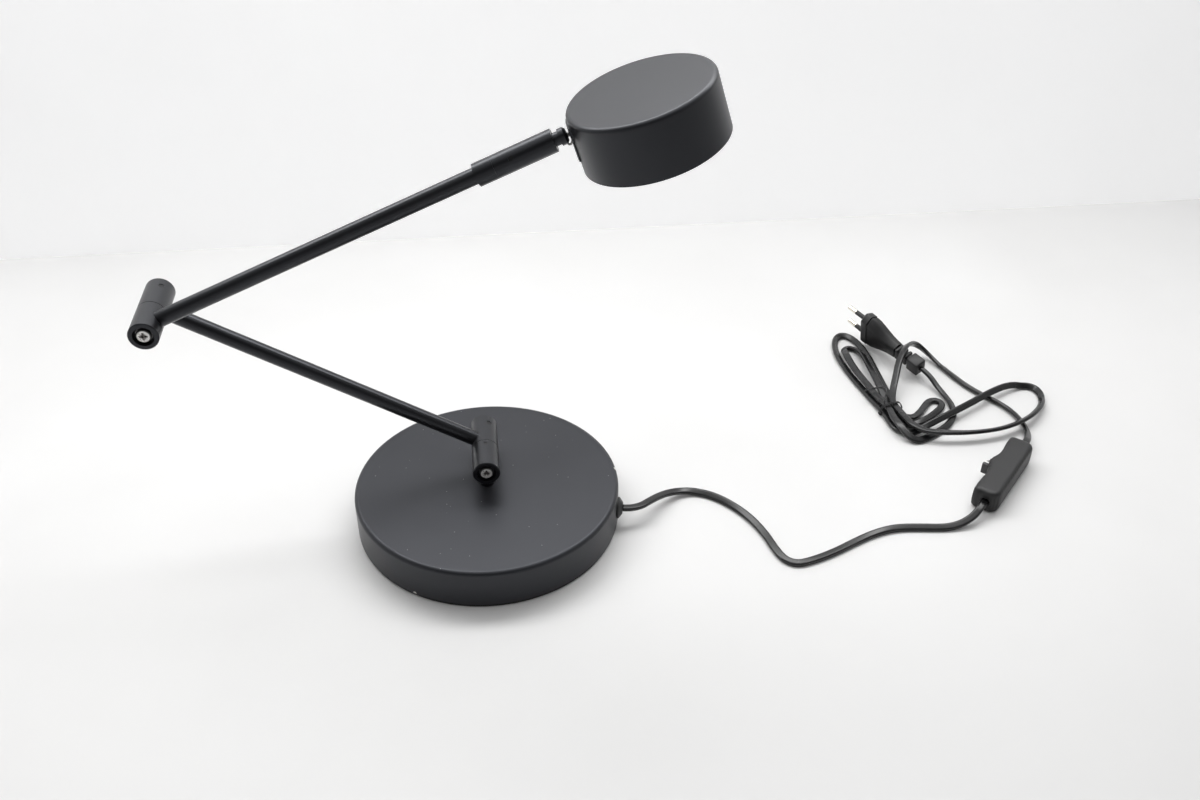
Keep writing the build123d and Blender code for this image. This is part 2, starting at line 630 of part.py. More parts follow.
def cord():
    """Lead to the switch, then the tied bundle that ends in the plug."""
    port_z = switch_wide / 2
    half = switch_length / 2
    mouth = base_dia / 2 + grommet_proud
    lead = [entry(mouth), entry(mouth + 9.5), (112.8, -16.5, 13.4),
            (119.5, -7.0, 11.6), (127.5, 1.0, 8.2), (138.0, 6.0, 4.9), (150.0, 6.2, 3.2),
            (162.0, 0.6, floor_z), (172.6, -9.2, floor_z), (183.8, -24.3, floor_z),
            (191.7, -43.3, floor_z), (195.4, -61.1, floor_z), (198.9, -71.3, floor_z),
            (206.3, -76.9, floor_z), (217.7, -74.8, floor_z), (235.3, -68.4, floor_z),
            (254.0, -59.0, floor_z), (270.4, -52.1, floor_z), (285.8, -48.8, floor_z),
            (303.6, -50.6, floor_z), (318.0, -52.6, floor_z), (330.0, -52.2, 3.6), (340.5, -49.2, 6.4),
            in_switch(-half - 9, 0, port_z), in_switch(-half, 0, port_z)]
    parts["cord_lead"] = tube("cord_lead", lead)

    west, middle, east = (-strand_pitch, low), (0.0, low), (strand_pitch, low)
    top_west, top_east = (-strand_pitch / 2, high), (strand_pitch / 2, high)

    def gate(slot, side):
        return in_tie(slot[0], side * tie_half, slot[1])

    points = [in_switch(half, 0, port_z), in_switch(half + 8, 0, port_z), (419.5, 37.5, 6.4),
              (424.2, 48.0, 3.6), (425.6, 60.0, floor_z), (424.0, 74.0, floor_z), (418.0, 88.0, floor_z),
              (407.5, 102.0, floor_z), (399.0, 117.0, floor_z), (393.0, 134.0, floor_z), (387.6, 149.0, 3.4),
              (382.0, 161.0, 6.5), (374.0, 166.5, 12.0), (364.0, 159.0, 18.5), (354.5, 147.0, 22.3),
              (346.0, 133.5, 19.0), (339.6, 119.5, 13.8), (333.6, 107.0, 10.9)]
    points += [gate(top_east, 1), gate(top_east, -1)]
    points += [(331.4, 72.0, 10.6), (333.2, 60.5, 11.0), (340.0, 51.0, 10.8)]
    neck_of_loop = (329.0, 51.0)
    side_loop = loop((*neck_of_loop, high), (*neck_of_loop, low), neck_of_loop, 22.6, 137.6, -27.0,
                     -13.0, 16, crossing_lift)
    points += side_loop[1:-1]
    points += [(341.5, 58.8, 5.2), (333.5, 56.0, 4.2), (326.0, 58.9, low), (321.2, 66.5, low)]
    points += [gate(west, -1), gate(west, 1)]
    root = in_tie(0, tie_half, 0)
    points += loop(gate(west, 1), gate(east, 1), root, 93.6, 110.0, 17.2, 2.0, 13)
    points += [gate(east, 1), gate(east, -1)]
    points += [(334.2, 77.8, low), (341.0, 75.6, low), (347.5, 80.5, low), (354.5, 89.0, floor_z),
               (361.0, 97.0, floor_z), (367.5, 98.5, floor_z), (371.5, 93.5, floor_z),
               (368.0, 86.5, floor_z), (359.5, 79.0, floor_z), (350.5, 72.5, low), (343.0, 68.6, low),
               (336.0, 66.6, low), (330.3, 69.6, low), (328.3, 76.0, low)]
    points += [gate(middle, -1), gate(middle, 1)]
    inner_root = in_tie(-1.1, tie_half, 0)
    points += loop(gate(middle, 1), gate(top_west, 1), inner_root, 93.3, 91.0, -9.2, 2.4, 11, 6.6, 0.6)
    points += [gate(top_west, 1), gate(top_west, -1)]
    points += [(322.4, 72.0, 10.8), (323.4, 60.5, 11.3), (328.4, 48.8, 5.8), (336.5, 46.4, floor_z)]
    points += [(347.0, 51.5, floor_z), (358.5, 58.0, floor_z), (369.0, 67.0, floor_z),
               (376.0, 79.0, floor_z), (378.5, 91.0, floor_z), (377.0, 103.0, 3.4), (373.6, 114.0, 5.6)]
    back = plug_body + plug_relief
    points += [on_plug(back + 9), on_plug(back)]
    parts["cord_bundle"] = tube("cord_bundle", points)
    return points


# ---------------------------------------------------------------- switch, plug and tie
def switch():
    """Housing in two halves round the cord, rocker on its pin, and the two cover screws."""
    along = (cos(radians(switch_heading)), sin(radians(switch_heading)), 0)
    turn = Plane(origin=(*switch_place, 0), x_dir=along, z_dir=(0, 0, 1)).location
    half = switch_length / 2
    mid_z = switch_wide / 2
    waist = switch_front - 0.4
    window = rocker_half + 1.2
    shoulder = window + 3.0
    slope = shoulder + 7.0
    outline = Polyline((-half, 0), (half, 0), (half, switch_front - 1.0), (half - 8, switch_front),
                       (slope, waist), (shoulder, switch_hump), (-shoulder, switch_hump),
                       (-slope, waist), (8 - half, switch_front), (-half, switch_front - 1.0), close=True)
    cover = extrude(make_face(outline), switch_wide)
    for side in (-1, 0):
        rim = cover.faces().sort_by(Axis.Z)[side].edges().filter_by(Plane.XZ, reverse=True)
        cover = chamfer(rim, switch_edge)
    back = Pos(0, -switch_back / 2, mid_z) * Box(switch_length, switch_back, switch_wide)
    back = fillet(back.edges().filter_by(Axis.Z).group_by(Axis.Y)[0], 3.0)
    long_edges = back.edges().filter_by(Axis.X).group_by(Axis.Y)[0]
    back = chamfer(long_edges, switch_edge)
    floor_y = rocker_pivot - 2.4
    pocket_high = rocker_wide + 2 * rocker_slip
    pocket_deep = switch_hump + 1 - floor_y
    cover -= Pos(0, floor_y + pocket_deep / 2, mid_z) * Box(2 * window, pocket_deep, pocket_high)
    pin_half = pocket_high / 2 + 2.0
    pin = rod((0, rocker_pivot, mid_z - pin_half), (0, rocker_pivot, mid_z + pin_half), rocker_pin_dia)
    hole_half = pin_half + running_gap
    cover -= rod((0, rocker_pivot, mid_z - hole_half), (0, rocker_pivot, mid_z + hole_half),
                 rocker_pin_dia + 2 * face_gap)
    crown = switch_hump + 0.5
    key = Polyline((-rocker_half, rocker_pivot + 0.2), (-2, rocker_pivot - 1.6), (2, rocker_pivot - 1.6),
                   (rocker_half, rocker_pivot + 0.2), (rocker_half, crown + 1.2), (0, crown),
                   (-rocker_half, crown + 1.2), close=True)
    rocker = Pos(0, 0, mid_z - rocker_wide / 2) * extrude(make_face(key), rocker_wide)
    rocker += pin
    rocker = Pos(0, rocker_pivot, 0) * Rot(0, 0, -rocker_tilt) * Pos(0, -rocker_pivot, 0) * rocker
    for i, x in enumerate((-switch_screw_at, switch_screw_at)):
        seat = switch_front - 2.2
        screw = rod((x, -switch_back * 0.6, mid_z), (x, seat, mid_z), switch_screw_dia)
        screw += rod((x, seat, mid_z), (x, seat + 1.4, mid_z), switch_screw_head)
        well = rod((x, seat, mid_z), (x, switch_hump, mid_z), switch_screw_head + 2 * rocker_slip)
        cover -= screw + well
        back -= screw
        parts[f"switch_screw_{i + 1}"] = turn * screw
    parts["switch_cover"] = turn * cover
    parts["switch_back"] = turn * back
    parts["switch_rocker"] = turn * rocker


def plug():
    """Flat two-pin plug with a tapered back and a ringed strain relief."""
    ahead, across = plug_axes()
    place = Plane(origin=plug_root, x_dir=across, z_dir=ahead).location

    def hexagon(z, wide, flat, thick):
        points = [(-wide / 2, 0), (-flat / 2, -thick / 2), (flat / 2, -thick / 2),
                  (wide / 2, 0), (flat / 2, thick / 2), (-flat / 2, thick / 2)]
        return make_face(Polyline(*[(x, y, z) for x, y in points], close=True))
    front = hexagon(-plug_straight, plug_wide, plug_flat, plug_thick)
    body = extrude(front, plug_straight, dir=(0, 0, 1))
    tail = hexagon(-plug_body, relief_dia + 5, relief_dia, relief_dia + 1)
    body += loft([front, tail])
    end = -plug_body - plug_relief
    core_dia = relief_end_dia - 0.8
    body += rod((0, 0, end), (0, 0, -plug_body), core_dia)
    pitch = plug_relief / relief_rings
    for i in range(relief_rings):
        dia = relief_dia + (relief_end_dia - relief_dia) * i / (relief_rings - 1)
        high = -plug_body - pitch * i
        body += rod((0, 0, high - pitch + relief_groove), (0, 0, high), dia)
    for i, side in enumerate((-1, 1)):
        lean = (pin_pitch - pin_tip_pitch) / 2 / pin_length
        root_x = side * (pin_pitch / 2 + lean * pin_root)
        pin = rod((root_x, 0, -pin_root), (side * pin_tip_pitch / 2, 0, pin_length), pin_dia)
        tip = pin.faces().sort_by(Axis.Z)[-1].edges()
        pin = fillet(tip, pin_dia * 0.35)
        body -= pin
        parts[f"plug_pin_{i + 1}"] = place * pin
    parts["plug_body"] = place * body


def cord_tie():
    """Wire tie: a closed band round the five strands and its twisted tail."""
    core = Polyline((-strand_pitch, low), (strand_pitch, low), (strand_pitch / 2, high),
                    (-strand_pitch / 2, high), close=True)
    inner = offset(make_face(core), cord_dia / 2 + tie_slip, kind=Kind.ARC)
    outer = offset(make_face(core), cord_dia / 2 + tie_slip + tie_thick, kind=Kind.ARC)
    c, s = cos(radians(tie_heading)), sin(radians(tie_heading))
    plane = Plane(origin=in_tie(0, tie_wide / 2, 0), x_dir=(s, -c, 0), z_dir=(-c, -s, 0))
    band = plane.location * extrude(outer - inner, tie_wide)
    side = strand_pitch + cord_dia / 2 + tie_slip + tie_thick / 2
    tail = rod(in_tie(-side, 0, low), in_tie(-side - 12, -3, low + 4), tie_thick * 1.6)
    parts["cord_tie"] = band + tail


parts["base_shell"] = base_shell()
base_bottom()
mains_entry()
stem()
base_barrel()
elbow_barrel()
lower_arm()
upper_arm()
sleeve()
head()
switch()
plug()
cord_tie()
cord()

for name, shape in parts.items():
    shape.label = name
    export_step(shape, f"parts/{name}.step")
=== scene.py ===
# Black two-arm desk lamp: weighted round base, friction barrels, tube arms, drum head on a ball joint,
# and a flat twin cord with an in-line switch and a two-pin plug. Metres, +Z up, +X towards the head.
from math import copysign, cos, pi, radians, sin, sqrt

import bmesh
import bpy
from mathutils import Matrix, Vector


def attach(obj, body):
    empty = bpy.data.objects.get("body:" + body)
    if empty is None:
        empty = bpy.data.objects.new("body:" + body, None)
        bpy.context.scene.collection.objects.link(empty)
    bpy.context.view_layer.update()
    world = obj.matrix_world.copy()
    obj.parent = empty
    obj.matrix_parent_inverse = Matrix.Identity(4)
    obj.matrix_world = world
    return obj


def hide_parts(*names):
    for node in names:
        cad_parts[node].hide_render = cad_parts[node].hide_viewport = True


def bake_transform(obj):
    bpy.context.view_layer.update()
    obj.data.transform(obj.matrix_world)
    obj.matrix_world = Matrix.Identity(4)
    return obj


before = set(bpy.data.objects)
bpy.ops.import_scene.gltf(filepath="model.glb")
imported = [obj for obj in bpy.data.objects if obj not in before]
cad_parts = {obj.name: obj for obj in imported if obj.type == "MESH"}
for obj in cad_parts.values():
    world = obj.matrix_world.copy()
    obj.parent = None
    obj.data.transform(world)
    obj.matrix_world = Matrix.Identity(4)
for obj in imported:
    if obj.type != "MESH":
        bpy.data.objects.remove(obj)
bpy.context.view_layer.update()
bpy.ops.object.select_all(action="DESELECT")


# ---------------------------------------------------------------- foot pad, plate and weight
# A die-cut rubber pad glued under a pressed steel plate; the plate carries a cast iron weight and is
# held to the cover by three zinc pan screws. Only the pad's edge shows, as a dark line on the table.
def finish(name, colour, roughness, metallic=0.0):
    """A new finish with its tree and its shader."""
    skin = bpy.data.materials.new(name)
    skin.use_nodes = True
    shader = skin.node_tree.nodes["Principled BSDF"]
    shader.inputs["Base Color"].default_value = (*colour, 1)
    shader.inputs["Roughness"].default_value = roughness
    shader.inputs["Metallic"].default_value = metallic
    return skin, skin.node_tree, shader


def step(tree, kind, feeds, **settings):
    """One node; each feed is a value, or the output that drives the socket."""
    node = tree.nodes.new("ShaderNode" + kind)
    for key, value in settings.items():
        setattr(node, key, value)
    for socket, feed in feeds.items():
        if isinstance(feed, bpy.types.NodeSocket):
            tree.links.new(feed, node.inputs[socket])
        else:
            node.inputs[socket].default_value = feed
    return node


def blend_colour(tree, mask, low, high):
    """Colour from low to high as the mask goes from 0 to 1."""
    mix = step(tree, "MixRGB", {0: mask})
    for socket, colour in ((1, low), (2, high)):
        if isinstance(colour, bpy.types.NodeSocket):
            tree.links.new(colour, mix.inputs[socket])
        else:
            mix.inputs[socket].default_value = (*colour, 1)
    return mix.outputs[0]


def spread(tree, value, low, high, start=0.0, end=1.0):
    """The value moved from start..end to low..high."""
    return step(tree, "MapRange", {0: value, 1: start, 2: end, 3: low, 4: high}).outputs[0]


def effect(name, inputs, outputs):
    """An empty effect group with its sockets."""
    group = bpy.data.node_groups.new(name, "ShaderNodeTree")
    for label, kind, value in inputs:
        socket = group.interface.new_socket(label, in_out="INPUT", socket_type=kind)
        if value is not None:
            socket.default_value = value
    for label, kind in outputs:
        group.interface.new_socket(label, in_out="OUTPUT", socket_type=kind)
    return group, group.nodes.new("NodeGroupInput").outputs, group.nodes.new("NodeGroupOutput").inputs


def use(tree, group, **feeds):
    """The group placed in a tree with its own values."""
    node = tree.nodes.new("ShaderNodeGroup")
    node.node_tree = group
    for label, feed in feeds.items():
        socket = node.inputs[label.replace("_", " ")]
        if isinstance(feed, bpy.types.NodeSocket):
            tree.links.new(feed, socket)
        else:
            socket.default_value = feed
    return node.outputs


def place(tree):
    """The object's own coordinates."""
    return step(tree, "TexCoord", {}).outputs["Object"]


# Grain: the fine uneven skin of powder paint, moulded plastic, rubber or cast metal.
grain, grain_in, grain_out = effect(
    "surface_grain",
    [("Place", "NodeSocketVector", None), ("Grains per metre", "NodeSocketFloat", 1500.0),
     ("Cloud per metre", "NodeSocketFloat", 30.0)],
    [("Height", "NodeSocketFloat"), ("Cloud", "NodeSocketFloat")])
fine = step(grain, "TexNoise", {"Vector": grain_in[0], "Scale": grain_in[1], "Detail": 2.0, "Roughness": 0.55})
cloud = step(grain, "TexNoise", {"Vector": grain_in[0], "Scale": grain_in[2], "Detail": 3.0, "Roughness": 0.5})
grain.links.new(fine.outputs["Fac"], grain_out[0])
grain.links.new(cloud.outputs["Fac"], grain_out[1])

# Dust: sparse pale specks that settle on a top face and not under it.
dust, dust_in, dust_out = effect(
    "settled_dust",
    [("Place", "NodeSocketVector", None), ("Specks per metre", "NodeSocketFloat", 260.0),
     ("Share", "NodeSocketFloat", 0.04)],
    [("Mask", "NodeSocketFloat")])
speck_reach = 0.13    # part of a cell
level_enough = 0.85   # height of the normal
cells = step(dust, "TexVoronoi", {"Vector": dust_in[0], "Scale": dust_in[1], "Randomness": 1.0})
speck = step(dust, "Math", {0: cells.outputs["Distance"], 1: speck_reach}, operation="LESS_THAN")
cell_number = step(dust, "SeparateColor", {0: cells.outputs["Color"]})
chosen = step(dust, "Math", {0: cell_number.outputs[0], 1: dust_in[2]}, operation="LESS_THAN")
upward = step(dust, "SeparateXYZ", {0: step(dust, "NewGeometry", {}).outputs["Normal"]})
above = step(dust, "Math", {0: upward.outputs[2], 1: level_enough}, operation="GREATER_THAN")
both = step(dust, "Math", {0: speck.outputs[0], 1: chosen.outputs[0]}, operation="MULTIPLY")
dust.links.new(step(dust, "Math", {0: both.outputs[0], 1: above.outputs[0]}, operation="MULTIPLY").outputs[0],
               dust_out[0])


def skin_bump(tree, shader, height, strength, depth):
    """The height pressed into the shader's normal."""
    bump = step(tree, "Bump", {"Height": height, "Strength": strength, "Distance": depth})
    tree.links.new(bump.outputs[0], shader.inputs["Normal"])


def grained(name, dark, light, rough, grains, clouds, bump, depth, metallic=0.0):
    """A grained finish: clouded colour and gloss, with the grain in its normal."""
    skin, tree, shader = finish(name, dark, rough[0], metallic)
    outs = use(tree, grain, Place=place(tree), Grains_per_metre=grains, Cloud_per_metre=clouds)
    cloudy = spread(tree, outs["Cloud"], 0.0, 1.0, 0.3, 0.7)
    tree.links.new(blend_colour(tree, cloudy, dark, light), shader.inputs["Base Color"])
    tree.links.new(spread(tree, outs["Cloud"], rough[0], rough[1], 0.3, 0.7), shader.inputs["Roughness"])
    skin_bump(tree, shader, outs["Height"], bump, depth)
    return skin, tree, shader


def dress(skin, *names):
    """The finish put on CAD nodes."""
    for name in names:
        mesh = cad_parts[name].data
        mesh.materials.clear()
        mesh.materials.append(skin)


pad_rubber = grained("pad_rubber", (0.012, 0.012, 0.012), (0.02, 0.02, 0.019), (0.75, 0.9), 900, 60, 0.5, 0.0002)[0]
cast_iron = grained("cast_iron", (0.05, 0.048, 0.046), (0.11, 0.1, 0.095), (0.6, 0.8), 700, 90, 0.8, 0.0004, 0.7)[0]
zinc_sheet = grained("zinc_sheet", (0.42, 0.43, 0.45), (0.6, 0.61, 0.63), (0.28, 0.45), 1200, 140, 0.25, 0.0001,
                     1.0)[0]
dress(pad_rubber, "foot_pad")
dress(cast_iron, "base_weight")
dress(zinc_sheet, "base_plate", "stem_nut")


# ---------------------------------------------------------------- base cover
# A spun steel cover, powder coated satin black, with a rolled top edge, a trace of dust on top and two
# tiny chips where the paint has come off its edges.
cool_sheen = (0.88, 0.91, 1.0, 1)
dust_colour = (0.24, 0.24, 0.23)
bare_metal = (0.62, 0.6, 0.56)
chip_reach = 0.0013


def powder_coat(name, dark, light, rough, share):
    """Satin black powder paint, cool in its sheen, with settled dust."""
    skin, tree, shader = grained(name, dark, light, rough, 1700, 14, 0.22, 0.00012)
    shader.inputs["Specular Tint"].default_value = cool_sheen
    spots = use(tree, dust, Place=place(tree), Specks_per_metre=420.0, Share=share)[0]
    painted = shader.inputs["Base Color"].links[0].from_socket
    tree.links.new(blend_colour(tree, spots, painted, dust_colour), shader.inputs["Base Color"])
    return skin


cover_paint = powder_coat("cover_paint", (0.0105, 0.0107, 0.0127), (0.0145, 0.0148, 0.017), (0.36, 0.42), 0.03)
cover_tree = cover_paint.node_tree
cover_shader = cover_tree.nodes["Principled BSDF"]
for chip in ((-0.052, -0.0765, 0.0026), (0.0916, 0.006, 0.0288)):
    apart = step(cover_tree, "VectorMath", {0: place(cover_tree), 1: chip}, operation="DISTANCE").outputs["Value"]
    chipped = step(cover_tree, "Math", {0: apart, 1: chip_reach}, operation="LESS_THAN").outputs[0]
    whole_paint = cover_shader.inputs["Base Color"].links[0].from_socket
    cover_tree.links.new(blend_colour(cover_tree, chipped, whole_paint, bare_metal),
                         cover_shader.inputs["Base Color"])
dress(cover_paint, "base_shell")


# ---------------------------------------------------------------- mains entry
# A moulded PVC grommet snapped in the cover's wall, and behind it the cord's tail, the nylon clamp and
# the driver box. Only the grommet shows, as a short dark cone where the cord leaves.
black_plastic = grained("black_plastic", (0.006, 0.006, 0.0065), (0.0105, 0.0105, 0.0112), (0.42, 0.54), 2200, 45,
                        0.35, 0.00012)[0]
soft_pvc = grained("soft_pvc", (0.014, 0.014, 0.0145), (0.021, 0.021, 0.022), (0.38, 0.5), 1300, 70, 0.25,
                   0.0001)[0]
nylon = grained("nylon", (0.5, 0.49, 0.45), (0.6, 0.59, 0.55), (0.4, 0.5), 900, 60, 0.15, 0.0001)[0]
dress(soft_pvc, "cord_grommet", "mains_tail")
dress(black_plastic, "driver_box")
dress(nylon, "cord_clamp")


# ---------------------------------------------------------------- stem
# A steel tube, painted satin black, that turns in a nylon bush under the cover and is kept there by a
# zinc nut. A low-voltage lead runs in it, and on through both arms.
tube_paint = powder_coat("tube_paint", (0.005, 0.005, 0.0055), (0.008, 0.008, 0.0086), (0.27, 0.33), 0.0)
dress(tube_paint, "stem_tube")
dress(nylon, "stem_bush")
dress(soft_pvc, "stem_lead", "lower_lead", "upper_lead")


# ---------------------------------------------------------------- friction barrels
# Two turned steel halves on one axis, painted satin black, with a thin washer in the seam. A zinc
# cross-recessed screw with a spring washer pulls them together; small black grub screws lock the halves.
turned, turned_in, turned_out = effect(
    "turning_lines",
    [("Place", "NodeSocketVector", None), ("Lines per metre", "NodeSocketFloat", 3000.0)],
    [("Height", "NodeSocketFloat")])
rings = step(turned, "TexWave", {"Vector": turned_in[0], "Scale": turned_in[1], "Distortion": 0.6, "Detail": 1.0},
             wave_type="RINGS", rings_direction="Y")
turned.links.new(rings.outputs["Fac"], turned_out[0])


# Painted shade: the screw head is darkened beyond the first span from its axis, under its rim, and inside the
# second span, in its recess.
rim_shade_span = (0.0036, 0.0041)       # from the axis
recess_shade_span = (0.0013, 0.0025)


def bright_screw(name, centre):
    """Zinc-plated steel with turning lines round one axis point, with painted shade in its recess and under its
    rim.
    """
    skin, tree, shader = finish(name, (0.62, 0.62, 0.6), 0.25, 0.35)
    about = step(tree, "Mapping", {0: place(tree), 1: [-c for c in centre]}).outputs[0]
    lines = use(tree, turned, Place=about, Lines_per_metre=450.0)[0]
    outs = use(tree, grain, Place=about, Grains_per_metre=1500.0, Cloud_per_metre=400.0)
    bright = blend_colour(tree, outs["Cloud"], (0.66, 0.65, 0.63), (0.92, 0.91, 0.88))
    level = step(tree, "VectorMath", {0: about, 1: (1, 0, 1)}, operation="MULTIPLY").outputs[0]
    far = step(tree, "VectorMath", {0: level}, operation="LENGTH").outputs["Value"]
    # Painted shade: near black under the head's rim, dark grey-brown in its recess.
    rim_shaded = blend_colour(tree, spread(tree, far, 0.0, 1.0, *rim_shade_span), bright, (0.05, 0.05, 0.05))
    recess_shaded = blend_colour(tree, spread(tree, far, 1.0, 0.0, *recess_shade_span), rim_shaded, (0.13, 0.12, 0.11))
    tree.links.new(recess_shaded, shader.inputs["Base Color"])
    tree.links.new(spread(tree, outs["Cloud"], 0.18, 0.4), shader.inputs["Roughness"])
    skin_bump(tree, shader, lines, 0.25, 0.00005)
    return skin


seam_y = 0.0117
pivot_high = 0.0492
base_axis = (0.0, seam_y, pivot_high)
lower_length = 0.2368
lower_angle = radians(148.07)
elbow_axis = (lower_length * cos(lower_angle), seam_y, pivot_high + lower_length * sin(lower_angle))
barrel_paint = powder_coat("barrel_paint", (0.0075, 0.0075, 0.0083), (0.0105, 0.0105, 0.0115), (0.3, 0.37), 0.0)
dark_steel = grained("dark_steel", (0.1, 0.1, 0.1), (0.2, 0.2, 0.2), (0.3, 0.45), 1400, 300, 0.2, 0.0001, 1.0)[0]
black_oxide = grained("black_oxide", (0.008, 0.008, 0.0085), (0.016, 0.016, 0.017), (0.35, 0.5), 1400, 300, 0.2,
                      0.0001, 0.3)[0]
brass_plug = grained("brass_plug", (0.55, 0.4, 0.16), (0.7, 0.53, 0.25), (0.25, 0.4), 1400, 200, 0.15, 0.0001,
                     1.0)[0]
for joint, axis in (("base", base_axis), ("elbow", elbow_axis)):
    dress(barrel_paint, f"{joint}_barrel_front", f"{joint}_barrel_rear")
    dress(bright_screw(f"{joint}_screw_zinc", axis), f"{joint}_pivot_screw")
    dress(dark_steel, f"{joint}_spring_washer")
    dress(black_oxide, f"{joint}_grub_screw")
    dress(brass_plug, f"{joint}_thread_plug")
    dress(nylon, f"{joint}_seam_washer")
dress(black_oxide, "stop_screw")
for count in (1, 2, 3):
    dress(zinc_sheet, f"plate_screw_{count}")
dress(zinc_sheet, "clamp_screw")


# ---------------------------------------------------------------- arms, collar and swivel sleeve
# Drawn steel tube, painted satin black; the collar is pressed on the upper arm and the sleeve turns on
# the tube's end, kept by a small black set screw on its near side.
sleeve_paint = powder_coat("sleeve_paint", (0.0055, 0.0055, 0.0062), (0.0085, 0.0085, 0.0093), (0.28, 0.34), 0.0)
dress(tube_paint, "lower_tube", "upper_tube")
dress(sleeve_paint, "stop_collar", "swivel_sleeve")
dress(black_oxide, "sleeve_screw")


# ---------------------------------------------------------------- ball joint
# A polished steel ball on a threaded stud, held in a black cap on the sleeve's neck. The two thin leads
# of the light come out under the cap and go into the drum in a short loose loop.
upper_angle = radians(23.28)
dress(barrel_paint, "neck", "socket_cap")
dress(dark_steel, "ball_stud", "stud_nut")


def arm_point(t, n=0.0, side=0.0):
    """Point by the upper arm: t along it, n above it, side towards +Y."""
    c, s = cos(upper_angle), sin(upper_angle)
    return Vector((elbow_axis[0] + t * c - n * s, side, elbow_axis[2] + t * s + n * c))


ball = arm_point(0.28105)
head_tilt = radians(17.7)
outward = Vector((cos(head_tilt), 0, sin(head_tilt)))
drum_axis = Vector((-sin(head_tilt), 0, cos(head_tilt)))


def by_ball(out, rise, side=0.0):
    """Point by the ball: out towards the drum, rise along its axis, side towards +Y."""
    return ball + outward * out + drum_axis * rise + Vector((0, side, 0))


lead_clear = finish("lead_clear", (0.55, 0.55, 0.53), 0.22)[0]
lead_tree = lead_clear.node_tree
lead_strands = step(lead_tree, "TexNoise", {"Vector": place(lead_tree), "Scale": 2600.0, "Detail": 1.0})
lead_tree.links.new(
    blend_colour(lead_tree, spread(lead_tree, lead_strands.outputs["Fac"], 0, 1, 0.35, 0.65),
                 (0.34, 0.34, 0.33), (0.8, 0.8, 0.78)),
    lead_tree.nodes["Principled BSDF"].inputs["Base Color"])
skin_bump(lead_tree, lead_tree.nodes["Principled BSDF"], lead_strands.outputs["Fac"], 0.3, 0.0001)

lead_dia = 0.0009
lead_side = 0.0006
lead_turns = [(-0.0006, -0.0024), (0.0004, -0.0035), (0.0012, -0.0052), (0.0022, -0.0064), (0.0034, -0.0062),
              (0.0042, -0.0048), (0.0046, -0.0038)]


def linked(name, data):
    """A new object in the scene."""
    thing = bpy.data.objects.new(name, data)
    bpy.context.collection.objects.link(thing)
    return thing


def wire(name, radius):
    """An empty curve with a round section."""
    line = bpy.data.curves.new(name, "CURVE")
    line.dimensions = "3D"
    line.bevel_depth = radius
    line.bevel_resolution = 4
    line.use_fill_caps = True
    return line


def add_spline(line, spots, order, closed=False):
    """A NURBS spline in the curve; an open one reaches both its ends."""
    spline = line.splines.new("NURBS")
    spline.points.add(len(spots) - 1)
    for point, spot in zip(spline.points, spots):
        point.co = (*spot, 1)
    spline.use_cyclic_u = closed
    spline.order_u = order
    spline.use_endpoint_u = not closed


leads = []
for side in (-lead_side, lead_side):
    line = wire("lead_line", lead_dia / 2)
    bowed = [by_ball(out, rise, side * (1.0 + 90 * max(0.0, -rise - 0.003))) for out, rise in lead_turns]
    add_spline(line, bowed, 4)
    leads.append(linked("lead", line))


def merged(name, pieces):
    """The pieces as one mesh, applied and joined."""
    bpy.ops.object.select_all(action="DESELECT")
    for piece in pieces:
        piece.select_set(True)
    bpy.context.view_layer.objects.active = pieces[0]
    bpy.ops.object.convert(target="MESH")
    bpy.ops.object.join()
    whole = bpy.context.object
    whole.name = whole.data.name = name
    bpy.ops.object.transform_apply(location=True, rotation=True, scale=True)
    bpy.ops.object.shade_smooth_by_angle(angle=radians(40))
    whole.select_set(False)
    return whole


head_leads = merged("head_leads", leads)
head_leads.data.materials.append(lead_clear)
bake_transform(head_leads)


# ---------------------------------------------------------------- drum head
# A spun aluminium drum, painted satin black, open below: a ring holds an opal diffuser under the light
# board, whose heat goes into an aluminium disc. A black saddle stiffens the wall at the stud.
drum_paint = powder_coat("drum_paint", (0.0065, 0.0065, 0.0076), (0.009, 0.009, 0.0104), (0.35, 0.4), 0.006)
opal = grained("opal", (0.78, 0.78, 0.76), (0.84, 0.84, 0.82), (0.35, 0.45), 600, 30, 0.1, 0.00008)[0]
board_white = grained("board_white", (0.7, 0.7, 0.68), (0.78, 0.78, 0.76), (0.35, 0.5), 900, 120, 0.15, 0.0001)[0]
plain_alu = grained("plain_alu", (0.6, 0.6, 0.61), (0.75, 0.75, 0.76), (0.3, 0.45), 1200, 150, 0.2, 0.0001, 1.0)[0]
dress(drum_paint, "head_shell")
dress(barrel_paint, "saddle_plate")
dress(opal, "diffuser")
dress(board_white, "light_board")
dress(plain_alu, "heat_sink")
dress(drum_paint, "head_ring")


# ---------------------------------------------------------------- cord
# Flat twin PVC cord, 5.6 mm by 3.4 mm, with a shallow groove along each broad side. It lies loose on
# the table to the switch, and on to a tied bundle that ends in the plug.
cord_wide = 0.0056
cord_thick = 0.0034
section_points = 20
groove_half = 0.0011
groove_deep = 0.16    # part of the half thickness
lying = cord_thick / 2 + 0.00005
tie_wire = 0.0008
tie_half = 0.0045
pitch = 0.0065
low = lying + tie_wire + 0.0001
high = low + cord_thick + 0.0006
entry_turn = radians(-12.0)
entry_high = 0.014
switch_at = (0.3818, -0.007)
switch_turn = radians(47.5)
switch_half = 0.0405
cord_in_switch = 0.0355
port_high = 0.009
tie_at = (0.326, 0.088)
tie_turn = radians(100.0)
plug_root = Vector((0.3328, 0.1882, 0.0205))


def from_entry(out):
    """Point on the line out of the mains entry."""
    return (out * cos(entry_turn), out * sin(entry_turn), entry_high)


def in_switch(x, y, z):
    """Point in the switch: x along its cord, y towards the rocker, z up."""
    c, s = cos(switch_turn), sin(switch_turn)
    return (switch_at[0] + x * c - y * s, switch_at[1] + x * s + y * c, z)


